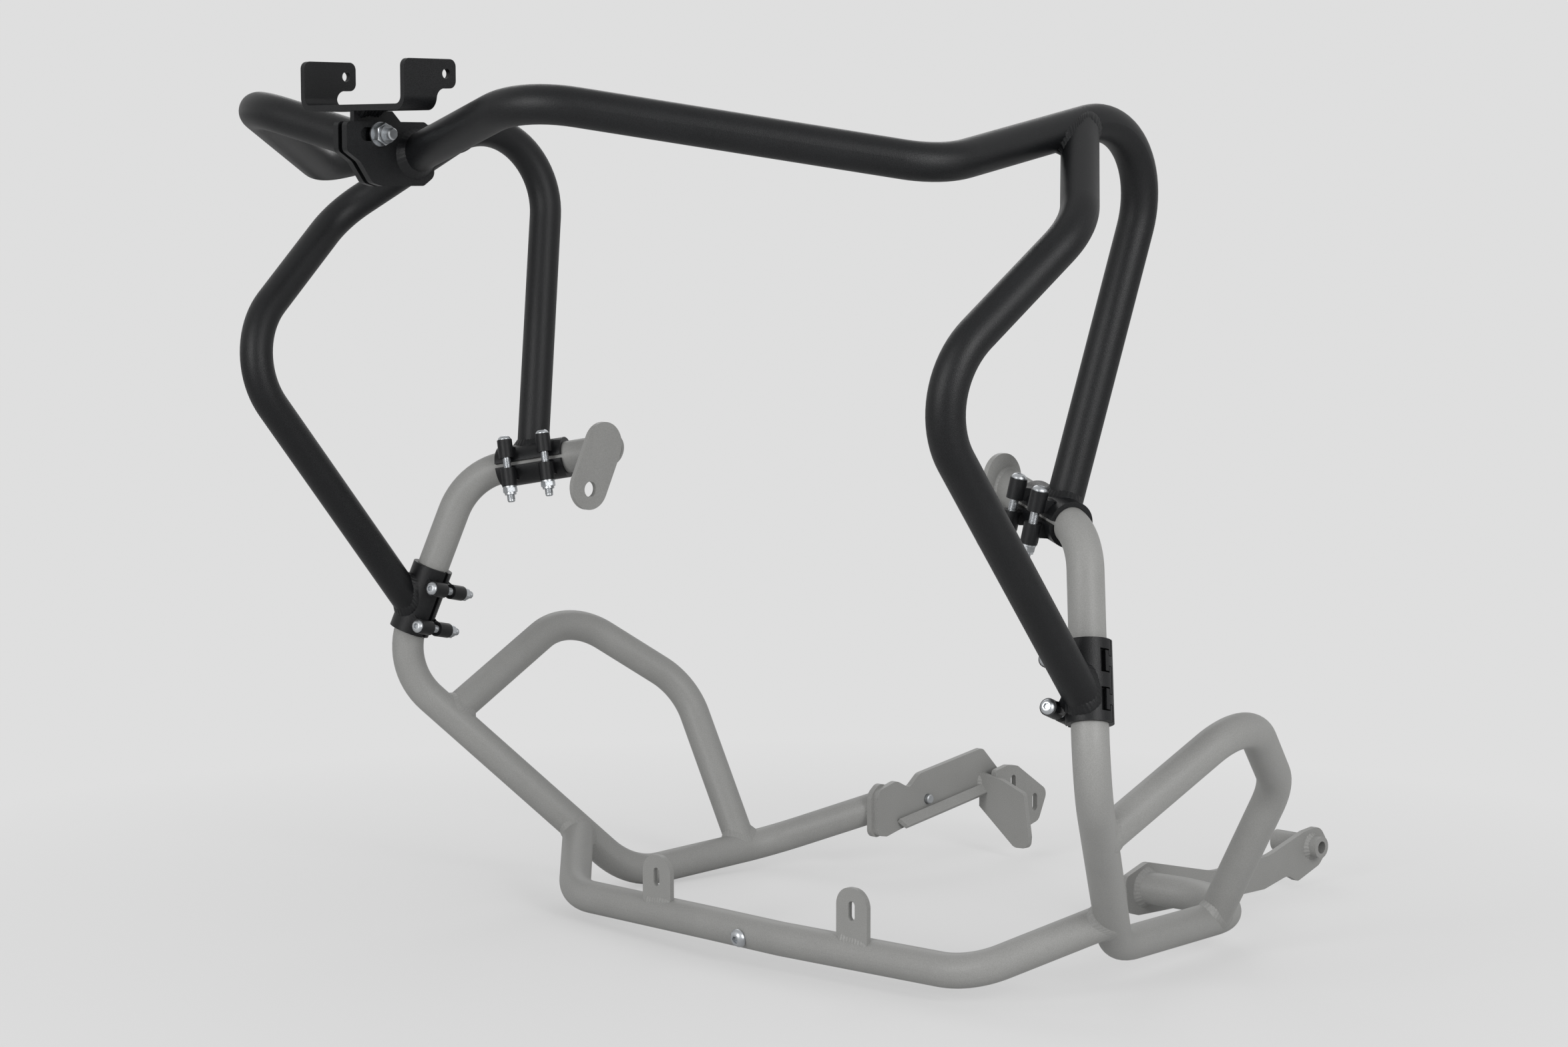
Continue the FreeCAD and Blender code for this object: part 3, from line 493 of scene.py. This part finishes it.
# %% Welds round the tube ends
LEG = {
    "flange_ring": 6.0 * MM,
    "upper_foot": 4.5 * MM,
    "branch_foot": 5.0 * MM,
    "branch_root": 6.0 * MM,
    "plate_ring": 2.8 * MM,
    "rear_end": 4.5 * MM,
}
USUAL_LEG = 5.0 * MM
RELIEF = {"flange_ring": 0.2, "branch_root": 0.8}
USUAL_RELIEF = 0.55
BLACK_SEAMS = {"branch_root", "branch_foot", "upper_foot", "flange_ring"}
START_INSIDE = 0.985
START_BACK = 75 * MM
RAY_REACH = 120 * MM
LONGEST_STEP = 12 * MM
weld_count = 0
for side, flip in (("left", 1), ("right", -1)):
    for seam, inner, outer, hosts in SHARED_ENDS + OWN_ENDS[side]:
        start = Vector((flip * inner[0], inner[1], inner[2])) * MM
        end = Vector((flip * outer[0], outer[1], outer[2])) * MM
        way = (end - start).normalized()
        host = surfaces([f"{name}_{side}" for name in hosts])
        ring = ring_of_starts(end - way * START_BACK, way, TUBE_R * START_INSIDE)
        found = landings(host, ring, way, RAY_REACH)
        slot = "black_coat" if seam in BLACK_SEAMS else "grey_coat"
        for path, closed in unbroken_runs(found, LONGEST_STEP):
            weld_count += 1
            weld(f"weld_{seam}_{side}_{weld_count}", path, closed, way, host, LEG.get(seam, USUAL_LEG),
                 slot, RELIEF.get(seam, USUAL_RELIEF))
        print(side, seam, "landed", sum(point is not None for point in found), "of", len(found))

# %% [markdown]
# ## Welds along plates
# The belly tabs stand on the cross tube, the lamp bracket stands on its tongue, and the rear plates
# meet at right angles. Those seams are lines and not rings, so their rays start in a row.

# %% Straight seams
ROW_POINTS = 40
ROW_REACH = 80 * MM
PLATE_RELIEF = 1.0


def line_weld(name, first, last, out, way, hosts, slot, leg):
    """A weld where rays from a row of points, written in millimetres, land on the hosts."""
    first = Vector(first) * MM
    last = Vector(last) * MM
    row = [(first.lerp(last, k / (ROW_POINTS - 1)), Vector(out)) for k in range(ROW_POINTS)]
    host = surfaces(hosts)
    found = [pair for pair in landings(host, row, Vector(way), ROW_REACH) if pair is not None]
    if len(found) >= FEWEST_LANDINGS:
        weld(name, found, False, Vector(way), host, leg, slot, PLATE_RELIEF)
    print(name, "landed", len(found))


def corners_mm(name):
    """A node's lowest and highest corners, in millimetres."""
    low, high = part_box(name)
    return low / MM, high / MM


print("straight weld maker ready")

# %% Belly tabs and the lamp bracket's tongue
TAB_LEG = 3.2 * MM
TAB_END_GAP = 1
TONGUE_HALF_T = 2.0
TONGUE_FRONT_Y = -395
TONGUE_BACK_Y = -372
TONGUE_RAY_Z = 270
TONGUE_LEG = 4.2 * MM
for side in ("left", "right"):
    low, high = corners_mm(f"belly_tab_{side}")
    for face, y, out in (("front", low.y, (0, -1, 0)), ("back", high.y, (0, 1, 0))):
        line_weld(f"weld_tab_{face}_{side}", (low.x + TAB_END_GAP, y, high.z),
                  (high.x - TAB_END_GAP, y, high.z), out, (0, 0, -1), [f"lower_cross_tube_{side}"],
                  "grey_coat", TAB_LEG)
for face, x in (("left", TONGUE_HALF_T), ("right", -TONGUE_HALF_T)):
    line_weld(f"weld_tongue_{face}", (x, TONGUE_FRONT_Y, TONGUE_RAY_Z), (x, TONGUE_BACK_Y, TONGUE_RAY_Z),
              (math.copysign(1, x), 0, 0), (0, 0, 1), ["lamp_bracket"], "black_coat", TONGUE_LEG)

# %% [markdown]
# ## The rear mounts
# The boss tube passes through its arm plate and is welded round on both faces, and its ring is known
# without rays. On the other side the gusset stands across the bracket and the slotted plate stands on
# the gusset.

# %% Seams of the rear mounts
BOSS_LEG = 3.4 * MM
GUSSET_LEG = 3.4 * MM
GUSSET_RAY_X = 15
GUSSET_Z = (-301, -271)
SLOTTED_LEG = 3.2 * MM
SLOTTED_RAY_Y = 14
SLOTTED_Z = (-303, -270)
low, high = corners_mm("rear_boss_tube_left")
arm_low, arm_high = corners_mm("rear_arm_plate_left")
boss_r = (high.z - low.z) / 2
boss_y = (high.y + low.y) / 2
boss_z = (high.z + low.z) / 2
arm = surfaces(["rear_arm_plate_left"])
for face, x, way in (("inner", arm_low.x, (1, 0, 0)), ("outer", arm_high.x, (-1, 0, 0))):
    ring = ring_of_starts(Vector((x, boss_y, boss_z)) * MM, Vector(way), boss_r * MM)
    weld(f"weld_boss_{face}", ring, True, Vector(way), arm, BOSS_LEG, "grey_coat", PLATE_RELIEF)
gusset_y = corners_mm("rear_gusset_right")[0].y
ray_x = corners_mm("rear_bracket_right")[1].x + GUSSET_RAY_X
line_weld("weld_gusset_front", (ray_x, gusset_y, GUSSET_Z[0]), (ray_x, gusset_y, GUSSET_Z[1]),
          (0, -1, 0), (-1, 0, 0), ["rear_bracket_right"], "grey_coat", GUSSET_LEG)
low, high = corners_mm("rear_slotted_plate_right")
ray_y = low.y + SLOTTED_RAY_Y
for face, x, out in (("inner", high.x, (1, 0, 0)), ("outer", low.x, (-1, 0, 0))):
    line_weld(f"weld_slotted_{face}", (x, ray_y, SLOTTED_Z[0]), (x, ray_y, SLOTTED_Z[1]), out,
              (0, -1, 0), ["rear_gusset_right"], "grey_coat", SLOTTED_LEG)

# %% [markdown]
# ## Threads
# The clamp bolts are threaded over most of their length, so turns show past each lock nut and again
# in the gap between the barrels. A small ridge is spun about the bolt's own line and climbs as it
# turns, which is what a thread is.

# %% A thread that climbs as it turns
RIDGE = ((-0.05, -0.48), (0.55, -0.06), (0.55, 0.06), (-0.05, 0.48))
RIDGE_HEIGHT = 0.35
STEPS_PER_TURN = 20


def thread(name, tip, way, radius, pitch, length, slot):
    """A helical ridge on the last stretch of a bolt. tip is the bolt's end and way points out of it."""
    side = way.orthogonal().normalized()
    base = tip - way * length
    shape = bmesh.new()
    corners = []
    for out, along in RIDGE:
        height = radius + out * pitch * RIDGE_HEIGHT
        corners.append(shape.verts.new(base + side * height + way * along * pitch))
    profile = shape.faces.new(corners)
    turns = max(1, int(length / pitch) - 1)
    steps = STEPS_PER_TURN * turns
    bmesh.ops.spin(shape, geom=[profile], cent=base, axis=way, dvec=way * (pitch * turns / steps),
                   angle=math.tau * turns, steps=steps, use_merge=False, use_duplicate=False)
    return keep(name, shape, slot)


print("thread maker ready")

# %% [markdown]
# The lines of the bolts aren't written down here: they are read from the bolts themselves. A node may
# hold several fasteners, so it is first split into its separate solids. A Python set has no fixed
# order, so the walk starts from the corners as the mesh lists them, and the set only remembers which
# were reached: each run then numbers the bolts alike. A bolt leans, so the middle of its box isn't on
# its line, but the middles of its head and of its tip are.

# %% Separate solids in a node
SAME_PLACE = 1e-6


def islands(name):
    """The corner points of each separate solid in a node, in the order of its mesh."""
    copy = bmesh.new()
    copy.from_mesh(nodes[name].data)
    bmesh.ops.remove_doubles(copy, verts=copy.verts, dist=SAME_PLACE)
    reached = set()
    groups = []
    for first in copy.verts:
        if first in reached:
            continue
        reached.add(first)
        stack = [first]
        group = []
        while stack:
            vertex = stack.pop()
            group.append(vertex.co.copy())
            for edge in vertex.link_edges:
                other = edge.other_vert(vertex)
                if other not in reached:
                    reached.add(other)
                    stack.append(other)
        groups.append(group)
    copy.free()
    return groups


def middle(points):
    """The middle of a group's box."""
    low = Vector(map(min, *points))
    high = Vector(map(max, *points))
    return (low + high) / 2


print("bolts in a clamp", len(islands("rear_clamp_bolts_left")))

# %% A clamp's lines, read from its bolts
GAP_TO_BARREL_END = 18.7 * MM
NUT_MIDDLE = 3.95 * MM
END_BAND = 1.5 * MM
REFINEMENTS = 4


def bolt_ends(points, way):
    """The middles of a bolt's head and tip. way points roughly from its head to its tip."""
    for attempt in range(REFINEMENTS):
        depths = [point.dot(way) for point in points]
        heads = [point for point, depth in zip(points, depths) if depth < min(depths) + END_BAND]
        tips = [point for point, depth in zip(points, depths) if depth > max(depths) - END_BAND]
        head = sum(heads, Vector()) / len(heads)
        tip = sum(tips, Vector()) / len(tips)
        way = (tip - head).normalized()
    return head, head + way * (max(depths) - head.dot(way))


def clamp_bolts(clamp, side):
    """For each bolt: its point in the gap, its way, the line to its neighbour, the way in, its tip."""
    nuts = [middle(group) for group in islands(f"{clamp}_clamp_nuts_{side}")]
    shell = middle([vertex.co for half in ("fixed", "loose")
                    for vertex in nodes[f"{clamp}_clamp_{half}_half_{side}"].data.vertices])
    along = (nuts[1] - nuts[0]).normalized()
    lines = []
    for group in islands(f"{clamp}_clamp_bolts_{side}"):
        centre = middle(group)
        nut = min(nuts, key=lambda spot: (spot - centre).length)
        head, tip = bolt_ends(group, (nut - centre).normalized())
        way = (tip - head).normalized()
        gap = head + way * ((nut - head).dot(way) - GAP_TO_BARREL_END - NUT_MIDDLE)
        inward = way.cross(along).normalized()
        if inward.dot(shell - gap) < 0:
            inward = -inward
        lines.append({"gap": gap, "way": way, "along": along, "inward": inward, "tip": tip})
    return lines


CLAMPS = [(clamp, side) for side in ("left", "right") for clamp in ("rear", "front")]
bolts_of = {place: clamp_bolts(*place) for place in CLAMPS}
print("bolts", sum(len(lines) for lines in bolts_of.values()))

# %% Threads on the clamp bolts
BOLT_R = 3.0 * MM
PITCH = 1.0 * MM
THREAD_L = 34.0 * MM
POINT_L = 0.9 * MM
for (clamp, side), lines in bolts_of.items():
    for index, line in enumerate(lines):
        thread(f"thread_{clamp}_{side}_{index}", line["tip"] - line["way"] * POINT_L, line["way"],
               BOLT_R, PITCH, THREAD_L, "zinc")

# %% [markdown]
# ## Welds at the clamp barrels
# Each half of a clamp carries two short barrels for its bolts, and a web ties each one to the shell.
# Rays run along both faces of every web, from the gap to the end of the barrel, and a short bead is
# laid where they land, on the barrel or in the shell. The bolts' lines say where the webs are, so the
# same rays serve all sixteen barrels.

# %% Barrel welds
BARREL_START = 5.0 * MM
BARREL_END = 17.5 * MM
WEB_HALF = 4.0 * MM
RAY_IN = 2.0 * MM
BARREL_STEPS = 20
BARREL_REACH = 20 * MM
FEWEST_ON_BARREL = 9
BARREL_LEG = 2.6 * MM
BARREL_RELIEF = 0.7
barrel_welds = 0
for (clamp, side), lines in bolts_of.items():
    for half, turn in (("fixed", -1), ("loose", 1)):
        host = surfaces([f"{clamp}_clamp_{half}_half_{side}"])
        for line in lines:
            for edge in (-1, 1):
                out = line["along"] * edge
                begin = line["gap"] + out * WEB_HALF + line["inward"] * RAY_IN
                steps = [BARREL_START + (BARREL_END - BARREL_START) * k / BARREL_STEPS
                         for k in range(BARREL_STEPS + 1)]
                row = [(begin + line["way"] * turn * step, out) for step in steps]
                found = [pair for pair in landings(host, row, line["inward"], BARREL_REACH)
                         if pair is not None]
                if len(found) >= FEWEST_ON_BARREL:
                    barrel_welds += 1
                    weld(f"weld_{clamp}_{side}_barrel_{barrel_welds}", found, False, line["inward"], host,
                         BARREL_LEG, "black_coat", BARREL_RELIEF)
print("barrel welds", barrel_welds)

# %% [markdown]
# ## The tube under a front clamp
# The front clamps have windows in their shells, and what shows through them is dark and not grey. That
# dark is painted shade: the windows are deep and lie in shade, so the tube is painted near black there.
# A mask measures how far a point lies from the clamp's middle, and inside the clamp's length it turns
# the grey to black. A black sleeve would do it too, but there is no room for one between the shell and
# the tube.

# %% Painted shade on the tube under a front clamp
COVERED_HALF = 26.5 * MM
BOLT_OFFSET = 22.0 * MM
MASK_EDGE = 2000.0
# The near-black colour of the painted shade inside a front clamp.
PAINTED_SHADE_UNDER_CLAMP = (0.004, 0.0044, 0.005, 1)
for side in ("left", "right"):
    lines = bolts_of["front", side]
    centre = (lines[0]["gap"] + lines[1]["gap"]) / 2 + lines[0]["inward"] * BOLT_OFFSET
    material = grey_coat.copy()
    material.name = f"grey_coat_with_painted_shade_{side}"
    tree = material.node_tree
    shader = tree.nodes["Principled BSDF"]
    place = Wire(tree, None).node("ShaderNodeTexCoord", {}, 3)
    away = place.node("ShaderNodeVectorMath", {"operation": "DISTANCE"}, 1, i0=place, i1=centre)
    # Painted shade: near black inside the clamp's length, the grey coat outside it.
    painted_shade_mask = clamp01((COVERED_HALF - away) * MASK_EDGE)
    grey = Wire(tree, shader.inputs["Base Color"].links[0].from_socket)
    plug(tree, blend_colour(painted_shade_mask, grey, PAINTED_SHADE_UNDER_CLAMP), shader, "Base Color")
    nodes[f"lower_main_tube_{side}"].data.materials[0] = material
    print(side, "clamp middle", [round(value / MM, 1) for value in centre])

# %% [markdown]
# ## Floor and light
# The floor is pale and plain. A product photograph has an even background, and more light would give
# it, but would wash out the bars too. So the camera sees most of the floor's tone as its own glow,
# all of it from about a metre away, and what is left takes the shadow. Lamps see a plain matt floor.

# %% The floor
BACKGROUND = (0.737, 0.737, 0.737, 1)
FLOOR_COLOUR = (0.70, 0.70, 0.70, 1)
FLOOR_ROUGHNESS = 0.95
FLOOR_HALF = 14.0
FLOOR_DROP = 0.5 * MM
GLOW_UNDER_BARS = 0.78
GLOW_FROM = 0.7
GLOW_RISE = 0.7
floor_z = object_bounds()[0].z - FLOOR_DROP
floor_shape = bmesh.new()
bmesh.ops.create_grid(floor_shape, x_segments=1, y_segments=1, size=FLOOR_HALF,
                      matrix=Matrix.Translation((0, 0, floor_z)))
floor_mesh = bpy.data.meshes.new("floor")
floor_shape.to_mesh(floor_mesh)
floor_shape.free()
floor = bpy.data.objects.new("floor", floor_mesh)
bpy.context.scene.collection.objects.link(floor)
paint, tree, shader, place = start_material("pale_floor")
shader.inputs["Base Color"].default_value = FLOOR_COLOUR
shader.inputs["Roughness"].default_value = FLOOR_ROUGHNESS
shader.inputs["Specular IOR Level"].default_value = 0.0
away = place.node("ShaderNodeVectorMath", {"operation": "LENGTH"}, 1, i0=place)
seen = place.node("ShaderNodeLightPath", {}, 0)
glow_share = clamp01((away - GLOW_FROM) * GLOW_RISE + GLOW_UNDER_BARS) * seen
glow = place.node("ShaderNodeEmission", {}, 0, Color=BACKGROUND, Strength=1.0)
lit = Wire(tree, shader.outputs[0])
mixed = lit.node("ShaderNodeMixShader", {}, 0, i0=glow_share, i1=lit, i2=glow)
tree.links.new(mixed.socket, tree.nodes["Material Output"].inputs["Surface"])
floor_mesh.materials.append(paint)
print("floor at", round(floor_z, 4))

# %% The world
DOME_LIGHT = 0.52
world = bpy.data.worlds.new("studio")
bpy.context.scene.world = world
world.use_nodes = True
tree = world.node_tree
sky = Wire(tree, None)
camera_ray = sky.node("ShaderNodeLightPath", {}, 0)
glossy_ray = Wire(tree, camera_ray.socket.node.outputs["Is Glossy Ray"])
through_ray = Wire(tree, camera_ray.socket.node.outputs["Is Transmission Ray"])
shown = clamp01(camera_ray + glossy_ray + through_ray)
dome = sky.node("ShaderNodeBackground", {}, 0, Color=(1, 1, 1, 1), Strength=DOME_LIGHT)
wall = sky.node("ShaderNodeBackground", {}, 0, Color=BACKGROUND, Strength=1.0)
mixed = sky.node("ShaderNodeMixShader", {}, 0, i0=shown, i1=dome, i2=wall)
tree.links.new(mixed.socket, tree.nodes["World Output"].inputs["Surface"])
print("world", world.name)

# %% [markdown]
# ## The lamps
# The photo's highlights are long and soft and run along the tubes, so the lamps are large boxes. The
# key stands on the left side, the fill in front, and a weak rim behind parts the black tubes from
# their background.

# %% The lamps
LAMPS = [
    ("key", (2.6, -0.5, 0.8), 0.8, 1.3, 37),
    ("fill", (0.2, -2.8, 0.8), 0.8, 1.3, 35),
    ("rim", (-1.8, 1.6, 1.4), 1.4, 1.0, 9),
]


def soft_lamp(name, place, width, height, power):
    """A soft box that faces the middle of the bars."""
    lamp = bpy.data.lights.new(name, "AREA")
    lamp.shape = "RECTANGLE"
    lamp.size = width
    lamp.size_y = height
    lamp.energy = power
    box = bpy.data.objects.new(name, lamp)
    box.location = place
    box.rotation_euler = (-Vector(place)).to_track_quat("-Z", "Y").to_euler()
    bpy.context.scene.collection.objects.link(box)


for lamp_values in LAMPS:
    soft_lamp(*lamp_values)
print("lamps", len(LAMPS))

# %% [markdown]
# ## The camera
# The photograph was taken from the front left, a little above the lower tubes, with a long lens. The
# place and the lens come from fitting known holes and bends of the bars to the picture.

# %% The camera
EYE_PLACE = (1.7268, -1.755, 0.249)
EYE_TILT = 83.958
EYE_TURN = 44.45
LENS = 76.15
SENSOR = 36.0
eye = bpy.data.cameras.new("eye")
eye.sensor_width = SENSOR
eye.lens = LENS
eye.clip_start = 0.05
eye.clip_end = 60.0
camera = bpy.data.objects.new("eye", eye)
camera.location = EYE_PLACE
camera.rotation_euler = (math.radians(EYE_TILT), 0, math.radians(EYE_TURN))
bpy.context.scene.collection.objects.link(camera)
bpy.context.scene.camera = camera
bpy.context.scene.view_settings.view_transform = "Standard"
print("lens", eye.lens)
